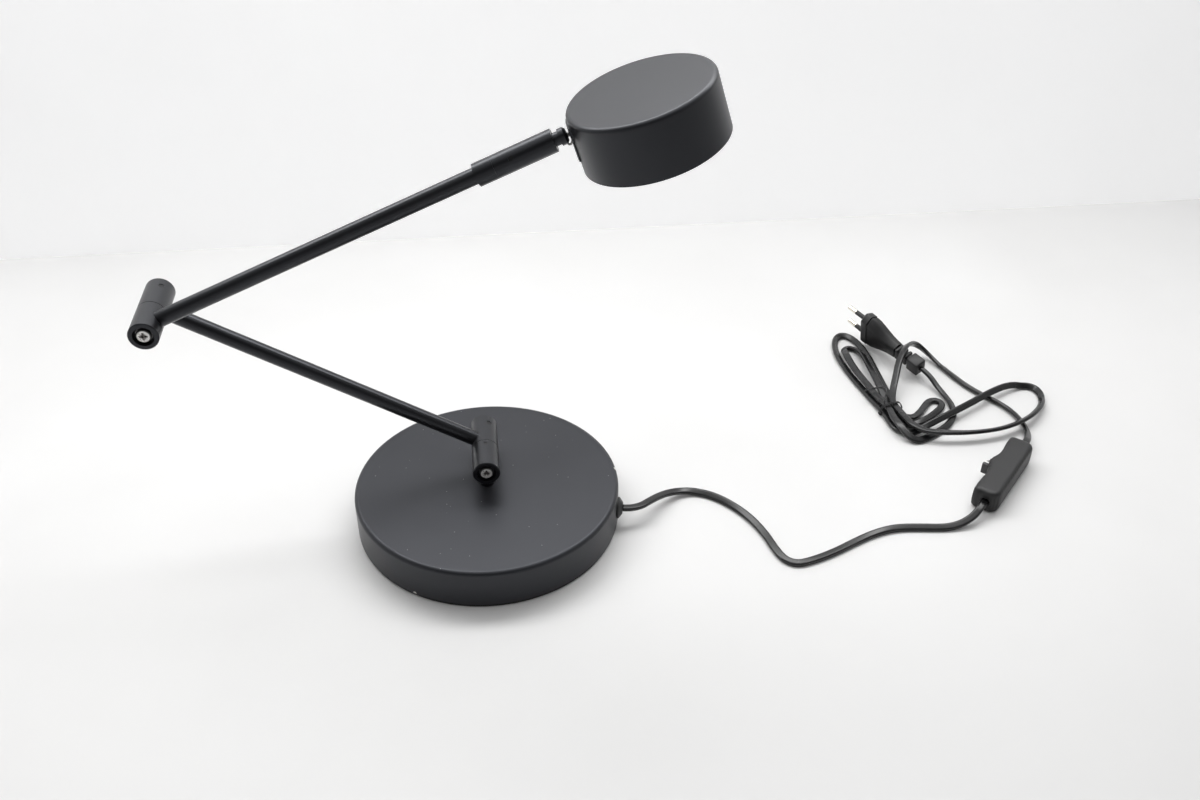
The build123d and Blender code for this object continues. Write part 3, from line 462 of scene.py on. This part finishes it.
def in_tie(side, ahead, z):
    """Point in the tie: side to the right of its heading, ahead along it."""
    c, s = cos(tie_turn), sin(tie_turn)
    return (tie_at[0] + side * s + ahead * c, tie_at[1] - side * c + ahead * s, z)


plug_heading, plug_pitch, plug_roll = radians(120.1), radians(8.5), radians(72.0)
plug_ahead = Vector((cos(plug_heading) * cos(plug_pitch), sin(plug_heading) * cos(plug_pitch), sin(plug_pitch)))
plug_level = Vector((0, 0, 1)).cross(plug_ahead).normalized()
plug_across = plug_level * cos(plug_roll) + plug_ahead.cross(plug_level) * sin(plug_roll)


def behind_plug(back):
    """Point on the plug's axis, back from its root."""
    return tuple(plug_root - plug_ahead * back)


def petal(start, end, root, heading, reach, width, sag, steps, lift=0.0, tip=1.0):
    """Loop of cord from one side of the tie back to it: goes out, swings round and returns."""
    c, s = cos(radians(heading)), sin(radians(heading))
    points = []
    for k in range(1, steps):
        a = 2 * pi * k / steps
        far = (1 - cos(a)) / 2
        v = width * copysign(abs(sin(a)) ** tip, sin(a)) * sin(a / 2) + sag * sin(pi * far)
        mouth = start if k * 2 < steps else end
        near = max(0.0, 1 - far * 3)
        side = ((mouth[1] - root[1]) * c - (mouth[0] - root[0]) * s) * near
        u = reach * far
        z = lying + (mouth[2] - lying) * near + lift * min(1.0, max(0.0, 3.2 * sin(pi * far) - 0.7))
        points.append((root[0] + u * c - (v + side) * s, root[1] + u * s + (v + side) * c, z))
    return points


cord_exit = from_entry(0.096)
lead_route = [
    cord_exit, from_entry(0.1008), (0.1072, -0.0187, 0.0134), (0.1138, -0.0126, 0.0119),
    (0.1205, -0.006, 0.0096), (0.1284, 0.0006, 0.0068), (0.138, 0.0052, 0.0042), (0.15, 0.0062, 0.0024),
    (0.162, 0.0006, lying), (0.1726, -0.0092, lying), (0.1838, -0.0243, lying), (0.1917, -0.0433, lying),
    (0.1954, -0.0611, lying), (0.1989, -0.0713, lying), (0.2063, -0.0769, lying), (0.2177, -0.0748, lying),
    (0.2353, -0.0684, lying), (0.254, -0.059, lying), (0.2704, -0.0521, lying), (0.2858, -0.0488, lying),
    (0.3036, -0.0506, lying), (0.318, -0.0526, lying), (0.33, -0.0522, 0.0028), (0.3405, -0.0492, 0.0059),
    in_switch(-switch_half - 0.009, 0, port_high), in_switch(-cord_in_switch, 0, port_high)]

west, middle, east = (-pitch, low), (0.0, low), (pitch, low)
top_west, top_east = (-pitch / 2, high), (pitch / 2, high)


def gate(slot, side):
    """Where a strand goes in or out of the tie."""
    return in_tie(slot[0], side * tie_half, slot[1])


bundle_route = [
    in_switch(cord_in_switch - 0.003, 0, port_high), in_switch(switch_half + 0.007, 0, port_high),
    (0.4195, 0.0375, 0.006), (0.4242, 0.048, 0.003), (0.4256, 0.06, lying), (0.424, 0.074, lying),
    (0.418, 0.088, lying), (0.4075, 0.102, lying), (0.399, 0.117, lying), (0.393, 0.134, lying),
    (0.3876, 0.149, 0.0026), (0.382, 0.161, 0.006), (0.374, 0.1665, 0.0116), (0.364, 0.159, 0.0181),
    (0.3545, 0.147, 0.0219), (0.346, 0.1335, 0.0186), (0.3396, 0.1195, 0.0125), (0.3336, 0.107, 0.0085)]
bundle_route += [gate(top_east, 1), gate(top_east, -1)]
bundle_route += [(0.3314, 0.072, 0.0078), (0.3332, 0.0605, 0.0086), (0.34, 0.051, 0.0084)]
neck_of_loop = (0.329, 0.051)
bundle_route += petal((*neck_of_loop, high), (*neck_of_loop, low), neck_of_loop, 22.6, 0.1376, -0.027, -0.013, 16,
                      0.0058)[1:-1]
bundle_route += [(0.3415, 0.0588, 0.0038), (0.3335, 0.056, 0.003), (0.326, 0.0589, low), (0.3212, 0.0665, low)]
bundle_route += [gate(west, -1), gate(west, 1)]
bundle_route += petal(gate(west, 1), gate(east, 1), in_tie(0, tie_half, 0), 93.6, 0.11, 0.0172, 0.002, 13)
bundle_route += [gate(east, 1), gate(east, -1)]
bundle_route += [
    (0.3342, 0.0778, low), (0.341, 0.0756, low), (0.3475, 0.0805, low), (0.3545, 0.089, lying),
    (0.361, 0.097, lying), (0.3675, 0.0985, lying), (0.3715, 0.0935, lying), (0.368, 0.0865, lying),
    (0.3595, 0.079, lying), (0.3505, 0.0725, low), (0.343, 0.0686, low), (0.336, 0.0666, low),
    (0.3303, 0.0696, low), (0.3283, 0.076, low)]
bundle_route += [gate(middle, -1), gate(middle, 1)]
bundle_route += petal(gate(middle, 1), gate(top_west, 1), in_tie(-0.0011, tie_half, 0), 93.3, 0.091, -0.0092,
                      0.0024, 11, 0.0052, 0.6)
bundle_route += [gate(top_west, 1), gate(top_west, -1)]
bundle_route += [
    (0.3224, 0.072, 0.0079), (0.3234, 0.0605, 0.0088), (0.3284, 0.0488, 0.0046), (0.3365, 0.0464, lying),
    (0.347, 0.0515, lying), (0.3585, 0.058, lying), (0.369, 0.067, lying), (0.376, 0.079, lying),
    (0.3785, 0.091, lying), (0.377, 0.103, 0.0026), (0.3736, 0.114, 0.0048), behind_plug(0.075),
    behind_plug(0.066)]


def smooth_line(route):
    """Points along the route's own NURBS spline."""
    line = bpy.data.curves.new("route", "CURVE")
    line.dimensions = "3D"
    line.resolution_u = 12
    add_spline(line, route, 3)
    holder = linked("route", line)
    traced = bpy.data.meshes.new_from_object(holder)
    spots = [v.co.copy() for v in traced.vertices]
    bpy.data.objects.remove(holder)
    bpy.data.curves.remove(line)
    bpy.data.meshes.remove(traced)
    return spots


def flat_cord(name, spots, rolls):
    """Twin-core section carried along the line; it lies flat and leans as rolls (distance, degrees) say."""
    section = []
    for k in range(section_points):
        a = 2 * pi * k / section_points
        x = cord_wide / 2 * copysign(abs(cos(a)) ** 0.72, cos(a))
        y = cord_thick / 2 * copysign(abs(sin(a)) ** 0.62, sin(a))
        section.append((x, y * (1 - groove_deep * max(0.0, 1 - abs(x) / groove_half))))
    runs = [0.0]
    for a, b in zip(spots, spots[1:]):
        runs.append(runs[-1] + (b - a).length)
    mesh = bmesh.new()
    along = mesh.loops.layers.uv.new("along_cord")
    loops = []
    for i, spot in enumerate(spots):
        ahead = (spots[min(i + 1, len(spots) - 1)] - spots[max(i - 1, 0)]).normalized()
        flat = Vector((0, 0, 1)).cross(ahead).normalized()
        rise = ahead.cross(flat)
        lean = 0.0
        for (d0, r0), (d1, r1) in zip(rolls, rolls[1:]):
            if d0 <= runs[i] <= d1:
                part = (runs[i] - d0) / (d1 - d0)
                lean = radians(r0 + (r1 - r0) * part * part * (3 - 2 * part))
        lowest = min(x * sin(lean) + y * cos(lean) for x, y in section)
        lift = max(0.0, -lowest - cord_thick / 2 - (spot.z - lying))
        loops.append([mesh.verts.new(spot + flat * (x * cos(lean) - y * sin(lean))
                                     + rise * (x * sin(lean) + y * cos(lean)) + Vector((0, 0, lift)))
                      for x, y in section])
    count = len(section)
    for i, (a, b) in enumerate(zip(loops, loops[1:])):
        for k in range(count):
            face = mesh.faces.new((a[k], a[(k + 1) % count], b[(k + 1) % count], b[k]))
            face.smooth = True
            for corner, (u, v) in zip(face.loops, ((k, i), (k + 1, i), (k + 1, i + 1), (k, i + 1))):
                corner[along].uv = (u / count, runs[v])
    mesh.faces.new(list(reversed(loops[0])))
    mesh.faces.new(loops[-1])
    bmesh.ops.recalc_face_normals(mesh, faces=mesh.faces)
    data = bpy.data.meshes.new(name)
    mesh.to_mesh(data)
    mesh.free()
    return linked(name, data)


cord_skin = grained("cord_skin", (0.008, 0.008, 0.0085), (0.014, 0.014, 0.0148), (0.2, 0.3), 1100, 45, 0.12,
                    0.00008)[0]
lead_spots = smooth_line(lead_route)
bundle_spots = smooth_line(bundle_route)
lead_rolls = [(0, 0), (0.04, 8), (0.09, 30), (0.14, 12), (0.2, 0), (0.27, 18), (0.4, 0)]
bundle_rolls = [(0, 0), (0.05, 40), (0.12, 20), (0.17, 60), (0.22, 20), (0.27, 0), (0.3, 0), (0.36, -35),
                (0.45, -50), (0.56, -35), (0.62, 0), (0.66, 0), (0.74, 35), (0.82, 25), (0.87, 0), (0.9, 0),
                (0.94, -30), (0.99, 0), (1.02, 0), (1.08, 30), (1.15, 0), (1.19, 0), (1.25, 30), (1.5, 0)]
lead_cord = flat_cord("cord_to_switch", lead_spots, lead_rolls)
bundle_cord = flat_cord("cord_to_plug", bundle_spots, bundle_rolls)
for cord in (lead_cord, bundle_cord):
    cord.data.materials.append(cord_skin)
    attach(cord, "base")
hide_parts("cord_lead")
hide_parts("cord_bundle")


# ---------------------------------------------------------------- in-line switch
# Two moulded shells screwed together round the cord, lying on one side. A rocker works in a window on
# the hump, and the cord goes in and out through a round port at each end.
switch_high = 0.018
switch_back = 0.009
switch_front = 0.0088
switch_hump = 0.0129
port_size = 0.0066
far_end = 0.0372
far_end_from = 0.0295
front_corner = 0.0036
back_corner = 0.0064
edge_round = 0.0034
screw_well = (0.0026, 0.008)          # radius and depth
screw_well_at = (0.028, 0.0106)
window_size = (0.0127, 0.0103, 0.0099)
rocker_size = (0.0104, 0.0048, 0.0088)
rocker_turn = radians(-4.0)
bar_from_middle = -0.0007
bar_half = 0.0009


def solid_block(size, centre):
    """A block of that size, in edit mode."""
    bpy.ops.object.select_all(action="DESELECT")
    bpy.ops.mesh.primitive_cube_add(size=1, location=centre)
    block = bpy.context.object
    block.scale = size
    bpy.ops.object.transform_apply(location=True, rotation=True, scale=True)
    bpy.ops.object.mode_set(mode="EDIT")
    return block


def cut_across(places, normal):
    """Cuts the edited mesh at each place along a normal."""
    for spot in places:
        bpy.ops.mesh.select_all(action="SELECT")
        bpy.ops.mesh.bisect(plane_co=[spot * n for n in normal], plane_no=normal)


def select_where(block, kind, wanted):
    """Selects the vertices, or the edges, whose middle is wanted."""
    bpy.ops.mesh.select_all(action="DESELECT")
    bpy.ops.mesh.select_mode(type=kind)
    mesh = bmesh.from_edit_mesh(block.data)
    for piece in mesh.verts if kind == "VERT" else mesh.edges:
        if wanted(piece.co if kind == "VERT" else (piece.verts[0].co + piece.verts[1].co) / 2):
            piece.select_set(True)
    mesh.select_flush_mode()
    bmesh.update_edit_mesh(block.data)


def soften(block, levels):
    """Leaves edit mode and applies a subdivision surface."""
    bpy.ops.object.mode_set(mode="OBJECT")
    smooth = block.modifiers.new("smooth", "SUBSURF")
    smooth.levels = smooth.render_levels = levels
    bpy.ops.object.modifier_apply(modifier=smooth.name)


def carve(block, tool):
    """Cuts the tool's shape out of the block and removes the tool."""
    bpy.context.view_layer.objects.active = block
    hole = block.modifiers.new("hole", "BOOLEAN")
    hole.operation = "DIFFERENCE"
    hole.solver = "FAST"
    hole.object = tool
    bpy.ops.object.modifier_apply(modifier=hole.name)
    bpy.data.objects.remove(tool)


def settle(piece, place_matrix, skin, body, angle=35):
    """Puts a piece made at the origin in its place, with its finish and body."""
    piece.data.transform(place_matrix)
    piece.data.materials.clear()
    piece.data.materials.append(skin)
    bpy.ops.object.select_all(action="DESELECT")
    piece.select_set(True)
    bpy.context.view_layer.objects.active = piece
    bpy.ops.object.shade_smooth_by_angle(angle=radians(angle))
    piece.select_set(False)
    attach(piece, body)


switch_place = Matrix.Translation((*switch_at, 0)) @ Matrix.Rotation(switch_turn, 4, "Z")
housing = solid_block((2 * switch_half, switch_back + switch_front, switch_high),
                      (0, (switch_front - switch_back) / 2, switch_high / 2))
housing.name = housing.data.name = "switch_housing"
hump_line = {0.0: switch_hump, 0.0035: 0.0126, 0.0075: 0.011, 0.0115: 0.0099, 0.0165: 0.0096, 0.0225: 0.01,
             0.031: 0.0105, switch_half: 0.0104}
cut_across([0.0] + [side * x for x in list(hump_line)[1:-1] for side in (-1, 1)], (1, 0, 0))
cut_across([0.0], (0, 1, 0))
for x, high_point in hump_line.items():
    select_where(housing, "VERT", lambda v: v.y > 0.006 and abs(abs(v.x) - x) < 0.0004)
    bpy.ops.transform.translate(value=(0, high_point - switch_front, 0))
rim = switch_half - 0.0001
for front, radius in ((True, front_corner), (False, back_corner)):
    select_where(housing, "EDGE", lambda e: abs(e.x) > rim and abs(e.z - switch_high / 2) < 0.0001
                 and (e.y > 0.009 if front else e.y < -0.0089))
    bpy.ops.mesh.bevel(offset=radius, segments=3, affect="EDGES")
select_where(housing, "VERT", lambda v: v.x > far_end_from)
bpy.ops.transform.translate(value=(far_end - switch_half, 0, 0))
bpy.ops.mesh.select_all(action="DESELECT")
bpy.ops.mesh.edges_select_sharp(sharpness=radians(60))
bpy.ops.mesh.bevel(offset=edge_round, segments=3, affect="EDGES")
soften(housing, 2)
bpy.ops.mesh.primitive_cube_add(size=1, location=(0.0001, 0.0123, port_high + 0.0001))
window = bpy.context.object
window.scale = window_size
bpy.ops.object.transform_apply(location=True, rotation=True, scale=True)
carve(housing, window)
for side, end in ((-1, -switch_half), (1, far_end)):
    bpy.ops.mesh.primitive_cylinder_add(vertices=24, radius=port_size / 2, depth=0.012, rotation=(0, pi / 2, 0),
                                        location=(end, 0, port_high))
    carve(housing, bpy.context.object)
    bpy.ops.mesh.primitive_cylinder_add(vertices=24, radius=screw_well[0], depth=screw_well[1],
                                        rotation=(pi / 2, 0, 0),
                                        location=(side * screw_well_at[0], screw_well_at[1], port_high))
    carve(housing, bpy.context.object)
settle(housing, switch_place, black_plastic, "base")
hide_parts("switch_cover", "switch_back")
dress(zinc_sheet, "switch_screw_1", "switch_screw_2")

# The rocker is a separate moulding with a raised finger end; a pale bar is painted across it beside that end.
rocker_hinge = Vector((0, 0.0096, port_high))
rocker = solid_block(rocker_size, (0, 0.0119, port_high))
rocker.name = rocker.data.name = "switch_rocker_key"
cut_across([-0.0012, 0.0024], (1, 0, 0))
select_where(rocker, "VERT", lambda v: v.y > 0.013 and v.x < -0.001)
bpy.ops.transform.translate(value=(0, 0.0021, 0))
select_where(rocker, "VERT", lambda v: v.y > 0.013 and v.x < -0.0045)
bpy.ops.transform.translate(value=(0.0006, 0, 0))
select_where(rocker, "VERT", lambda v: v.y > 0.013 and 0.001 < v.x < 0.004)
bpy.ops.transform.translate(value=(0, -0.0006, 0))
select_where(rocker, "EDGE", lambda e: e.y > 0.0125 or abs(e.x) > 0.0051)
bpy.ops.mesh.bevel(offset=0.0005, segments=2, affect="EDGES")
soften(rocker, 2)
rocker.data.transform(Matrix.Translation(rocker_hinge) @ Matrix.Rotation(rocker_turn, 4, "Z")
                      @ Matrix.Translation(-rocker_hinge))
key_skin, key_tree, key_shader = grained("key_skin", (0.018, 0.018, 0.0185), (0.026, 0.026, 0.027), (0.35, 0.45),
                                         2200, 45, 0.2, 0.0001)
# A pale bar painted across the key beside its raised end.
bar_at = in_switch(bar_from_middle, 0.0, 0.0)
along = (cos(switch_turn), sin(switch_turn), 0)
ahead_of_bar = step(key_tree, "VectorMath", {0: place(key_tree), 1: along}, operation="DOT_PRODUCT")
bar_run = bar_at[0] * along[0] + bar_at[1] * along[1]
on_bar = step(key_tree, "Math", {0: ahead_of_bar.outputs["Value"], 1: bar_run, 2: bar_half}, operation="COMPARE")
key_plain = key_shader.inputs["Base Color"].links[0].from_socket
key_tree.links.new(blend_colour(key_tree, on_bar.outputs[0], key_plain, (0.75, 0.75, 0.73)),
                   key_shader.inputs["Base Color"])
settle(rocker, switch_place, key_skin, "switch_key")
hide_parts("switch_rocker")


# ---------------------------------------------------------------- plug
# A moulded two-pin plug, six-sided and narrowing to the cord, with a ringed strain relief that ends in a
# square block. Its pins are nickel with black sleeves at the root.
plug_frame = Matrix((plug_across, plug_ahead.cross(plug_across), plug_ahead)).transposed().to_4x4()
plug_place = Matrix.Translation(plug_root) @ plug_frame
plug_wide, plug_thick, plug_flat, plug_face = 0.0353, 0.0137, 0.01305, 0.002
face_wide, face_thick = 0.955, 0.93    # parts of the full width and thickness
pin_sleeve = 0.0095
bpy.ops.object.select_all(action="DESELECT")
bpy.ops.mesh.primitive_circle_add(vertices=6, radius=plug_wide / 2, fill_type="NGON", rotation=(0, 0, pi / 2))
plug = bpy.context.object
plug.name = plug.data.name = "mains_plug"
bpy.ops.object.transform_apply(location=True, rotation=True, scale=True)
bpy.ops.object.mode_set(mode="EDIT")
select_where(plug, "VERT", lambda v: abs(v.y) > 0.001)
bpy.ops.transform.resize(value=(4 * plug_flat / plug_wide, plug_thick / (sqrt(3) / 2 * plug_wide), 1),
                         center_override=(0, 0, 0))
bpy.ops.mesh.select_all(action="SELECT")
bpy.ops.transform.resize(value=(face_wide, face_thick, 1), center_override=(0, 0, 0))
bpy.ops.transform.translate(value=(0, 0, -plug_face))
last = (plug_face, face_wide, face_thick)
for back, wide, thick in ((0.0028, 1.0, 1.0), (0.0084, 1.0, 1.0), (0.0088, 0.93, 0.9), (0.0096, 0.93, 0.9),
                          (0.0101, 0.965, 0.97), (0.014, 0.9, 0.99), (0.0185, 0.76, 0.98), (0.0235, 0.61, 0.94),
                          (0.029, 0.49, 0.86), (0.035, 0.42, 0.78), (0.0395, 0.4, 0.74)):
    bpy.ops.mesh.extrude_region_move(TRANSFORM_OT_translate={"value": (0, 0, last[0] - back)})
    bpy.ops.transform.resize(value=(wide / last[1], thick / last[2], 1), center_override=(0, 0, 0))
    last = (back, wide, thick)
bpy.ops.mesh.select_all(action="SELECT")
bpy.ops.mesh.normals_make_consistent(inside=False)
bpy.ops.mesh.select_all(action="DESELECT")
bpy.ops.mesh.select_mode(type="EDGE")
mesh = bmesh.from_edit_mesh(plug.data)
for edge in mesh.edges:
    if abs((edge.verts[0].co - edge.verts[1].co).z) > 0.0001:
        edge.select_set(True)
bmesh.update_edit_mesh(plug.data)
bpy.ops.mesh.bevel(offset=0.0011, segments=2, affect="EDGES")
bpy.ops.object.mode_set(mode="OBJECT")
blocks = [plug]
for start, end, wide, thick in ((0.0398, 0.0434, 0.0112, 0.0096), (0.0446, 0.048, 0.0108, 0.0094),
                                (0.0492, 0.0526, 0.0106, 0.0092), (0.054, 0.066, 0.0128, 0.0108),
                                (0.036, 0.0655, 0.0082, 0.0066)):
    block = solid_block((wide, thick, end - start), (0, 0, -(start + end) / 2))
    bpy.ops.mesh.select_all(action="SELECT")
    bpy.ops.mesh.bevel(offset=0.0013, segments=3, affect="EDGES")
    bpy.ops.object.mode_set(mode="OBJECT")
    blocks.append(block)
plug = merged("mains_plug", blocks)
settle(plug, plug_place, black_plastic, "base")
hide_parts("plug_body")
pin_nickel, pin_tree, pin_shader = finish("pin_nickel", (0.75, 0.72, 0.66), 0.2, 1.0)
pin_out = step(pin_tree, "VectorMath", {0: place(pin_tree), 1: tuple(plug_ahead)}, operation="DOT_PRODUCT")
sleeve_ends = plug_root.dot(plug_ahead) + pin_sleeve
bare = step(pin_tree, "Math", {0: pin_out.outputs["Value"], 1: sleeve_ends}, operation="GREATER_THAN").outputs[0]
pin_grain = use(pin_tree, grain, Place=place(pin_tree), Grains_per_metre=1800.0, Cloud_per_metre=500.0)
pin_metal = blend_colour(pin_tree, pin_grain["Cloud"], (0.7, 0.66, 0.58), (0.86, 0.83, 0.76))
pin_tree.links.new(blend_colour(pin_tree, bare, (0.02, 0.02, 0.02), pin_metal), pin_shader.inputs["Base Color"])
pin_tree.links.new(bare, pin_shader.inputs["Metallic"])
pin_tree.links.new(spread(pin_tree, bare, 0.5, 0.2), pin_shader.inputs["Roughness"])
skin_bump(pin_tree, pin_shader, pin_grain["Height"], 0.1, 0.00005)
dress(pin_nickel, "plug_pin_1", "plug_pin_2")


# ---------------------------------------------------------------- cord tie
# A plastic-covered wire, wound twice round the five strands of the bundle. Its two ends are twisted
# together into a tail at one side.
band_line = wire("tie_line", tie_wire / 2)
round_tie = [(-0.0092, 0.0005), (-0.003, 0.00048), (0.003, 0.00048), (0.0092, 0.0005), (0.0107, 0.0016),
             (0.0103, 0.0042), (0.0074, 0.0088), (0.003, 0.0095), (-0.003, 0.0095), (-0.0074, 0.0088),
             (-0.0103, 0.0042), (-0.0107, 0.0016)]
for turn_at in (-0.0009, 0.0004):
    add_spline(band_line, [in_tie(side, turn_at + side * 0.08, rise) for side, rise in round_tie], 3, closed=True)
tail = smooth_line([in_tie(-0.0068, 0.0002, 0.0094), in_tie(-0.0062, 0.003, 0.0106), (0.3236, 0.0965, 0.0126),
                    (0.3262, 0.1022, 0.013), (0.3228, 0.106, 0.0126), (0.3152, 0.1062, 0.0118),
                    (0.3068, 0.1046, 0.0108)])
for phase in (0.0, pi):
    winds = [phase + k * 0.85 for k in range(len(tail[::3]))]
    twisted = [(spot.x + 0.0003 * cos(wind), spot.y + 0.0003 * cos(wind), spot.z + 0.00042 * sin(wind))
               for spot, wind in zip(tail[::3], winds)]
    add_spline(band_line, twisted, 3)
tie = merged("wire_tie", [linked("tie", band_line)])
settle(tie, Matrix.Identity(4), soft_pvc, "base")
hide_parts("cord_tie")


# ---------------------------------------------------------------- table, light and camera
# A pale table top in front of a white wall, under soft studio light from above and behind. The room
# towards the camera is dim, so what faces the camera stays deep black.
table_paint = grained("table_paint", (0.71, 0.708, 0.703), (0.75, 0.749, 0.745), (0.4, 0.55), 300, 5, 0.05,
                      0.0001)[0]
wall_paint, wall_tree, wall_shader = grained("wall_paint", (0.88, 0.88, 0.885), (0.92, 0.92, 0.925), (0.7, 0.8),
                                             200, 4, 0.05, 0.0001)
wall_glow = 0.32
room_strength = 0.52
table_back = 0.43
behind = step(wall_tree, "NewGeometry", {}).outputs["Backfacing"]
clear = step(wall_tree, "BsdfTransparent", {})
veil = step(wall_tree, "MixShader", {0: behind, 1: wall_shader.outputs[0], 2: clear.outputs[0]})
wall_tree.links.new(veil.outputs[0], wall_tree.nodes["Material Output"].inputs[0])
wall_shader.inputs["Emission Color"].default_value = (1, 1, 1, 1)
wall_shader.inputs["Emission Strength"].default_value = wall_glow


def sheet(name, size, spot, turned, skin):
    """A plane with its finish."""
    bpy.ops.mesh.primitive_plane_add(size=1, location=spot, rotation=turned)
    plane = bpy.context.object
    plane.name = name
    plane.scale = (*size, 1)
    bpy.ops.object.transform_apply(location=True, rotation=True, scale=True)
    plane.data.materials.append(skin)
    return plane


table = sheet("table", (8, 6), (0, 0, 0), (0, 0, 0), table_paint)
wall = sheet("wall", (8, 3), (0, table_back, 1.5), (pi / 2, 0, 0), wall_paint)

sky = bpy.data.worlds.new("studio")
sky.use_nodes = True
towards = step(sky.node_tree, "SeparateXYZ", {0: step(sky.node_tree, "TexCoord", {}).outputs["Generated"]})
from_back = spread(sky.node_tree, towards.outputs[1], 0.0, 1.0, -0.75, 0.1)
room = blend_colour(sky.node_tree, from_back, (0.13, 0.13, 0.135), (1.0, 1.0, 1.0))
level_with = spread(sky.node_tree, towards.outputs[2], 1.0, 0.0, 0.08, 0.3)
sky.node_tree.links.new(blend_colour(sky.node_tree, level_with, room, (1.0, 1.0, 1.0)),
                        sky.node_tree.nodes["Background"].inputs[0])
sky.node_tree.nodes["Background"].inputs[1].default_value = room_strength
bpy.context.scene.world = sky


def soft_box(name, spot, aim, size, power):
    """A rectangular area light at spot that points to aim."""
    lamp = bpy.data.lights.new(name, "AREA")
    lamp.shape = "RECTANGLE"
    lamp.size, lamp.size_y = size
    lamp.energy = power
    box = linked(name, lamp)
    box.location = spot
    box.rotation_euler = (Vector(aim) - Vector(spot)).to_track_quat("-Z", "Y").to_euler()


soft_box("ceiling_box", (0.12, -0.1, 1.5), (0.1, 0.05, 0.0), (1.6, 1.1), 5.2)
soft_box("back_box", (0.08, 0.4, 0.7), (0.1, -0.2, 0.12), (1.6, 0.42), 13)

camera = linked("camera", bpy.data.cameras.new("camera"))
camera_at = (0.00385, -0.6378, 0.5562)
camera.data.sensor_width = 36.0
camera.data.lens = 34.93
look_down, look_right, roll = 0.6230, 0.1185, 0.004745
sight = Vector((sin(look_right) * cos(look_down), cos(look_right) * cos(look_down), -sin(look_down)))
right = sight.cross(Vector((0, 0, 1))).normalized()
upright = right.cross(sight)
tilted_right = right * cos(roll) + upright * sin(roll)
tilted_up = upright * cos(roll) - right * sin(roll)
turn = Matrix((tilted_right, tilted_up, -sight)).transposed()
camera.matrix_world = Matrix.Translation(camera_at) @ turn.to_4x4()
camera.data.clip_start = 0.01
bpy.context.scene.view_settings.view_transform = "Standard"
bpy.context.scene.camera = camera
